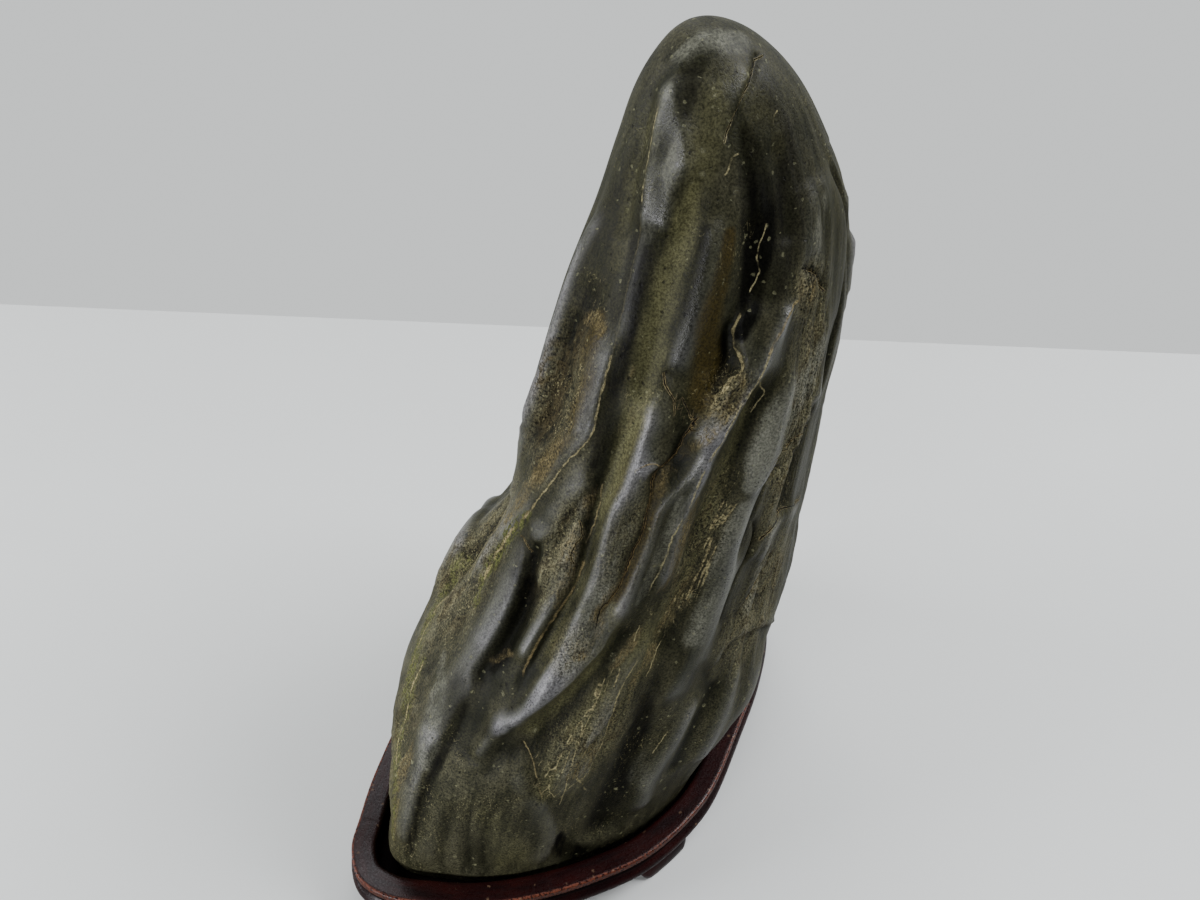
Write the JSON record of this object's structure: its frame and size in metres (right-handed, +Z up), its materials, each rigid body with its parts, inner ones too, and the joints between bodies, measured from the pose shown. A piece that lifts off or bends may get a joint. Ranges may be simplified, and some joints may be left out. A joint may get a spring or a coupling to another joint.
{
  "type": "scholars rock",
  "caption": "Tall polished river stone with water-worn flutes, ledges and cracks, standing in the fitted recess of a low carved wooden stand on feet.",
  "frame": {"origin": "on the surface the stand rests on, under the middle of the stand's outline", "axes": "+Z up; -Y is the front, the broad face of the rock that is displayed; +X to the right seen from the front"},
  "size_m": [0.1732, 0.1872, 0.2986],
  "materials": {
    "stone": "dark grey-green to olive stone with brown and tan veins, waxed to a soft polish",
    "stand_wood": "dark red-brown lacquered hardwood, glossy, worn lighter along the edges"
  },
  "bodies": {
    "root": {"rock": "stone", "stand": "stand_wood"}
  },
  "joints": []
}
